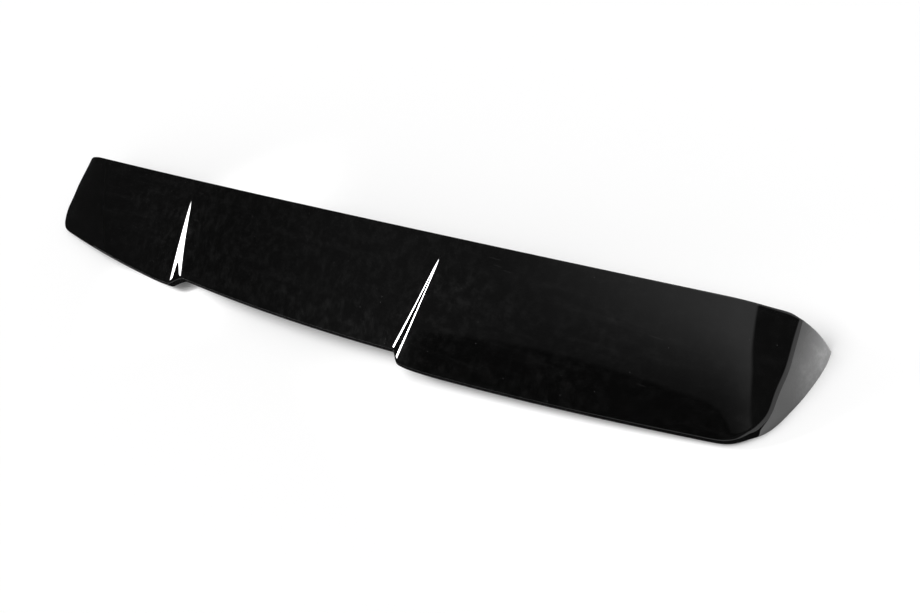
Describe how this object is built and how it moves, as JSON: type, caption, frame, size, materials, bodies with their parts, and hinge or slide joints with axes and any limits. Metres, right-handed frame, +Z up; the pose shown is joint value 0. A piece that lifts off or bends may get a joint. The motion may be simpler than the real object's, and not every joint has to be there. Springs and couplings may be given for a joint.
{
  "type": "car roof spoiler cap",
  "caption": "Thin gloss black roof spoiler cap: a crowned shell with raised side wings, a recessed middle and turned-down ends and rear edge, for bonding to a hatchback.",
  "frame": {"origin": "on the bench under the middle of the cap's outline", "axes": "+X across the car to its right-hand end, +Y towards the front of the car, +Z up off the bench that the end skirts stand on"},
  "size_m": [1.2024, 0.1464, 0.0835],
  "materials": {
    "shell": "high gloss black, formed from glossy sheet, fine scuffs and dust"
  },
  "bodies": {
    "root": {"spoiler_shell": "shell"}
  },
  "joints": []
}
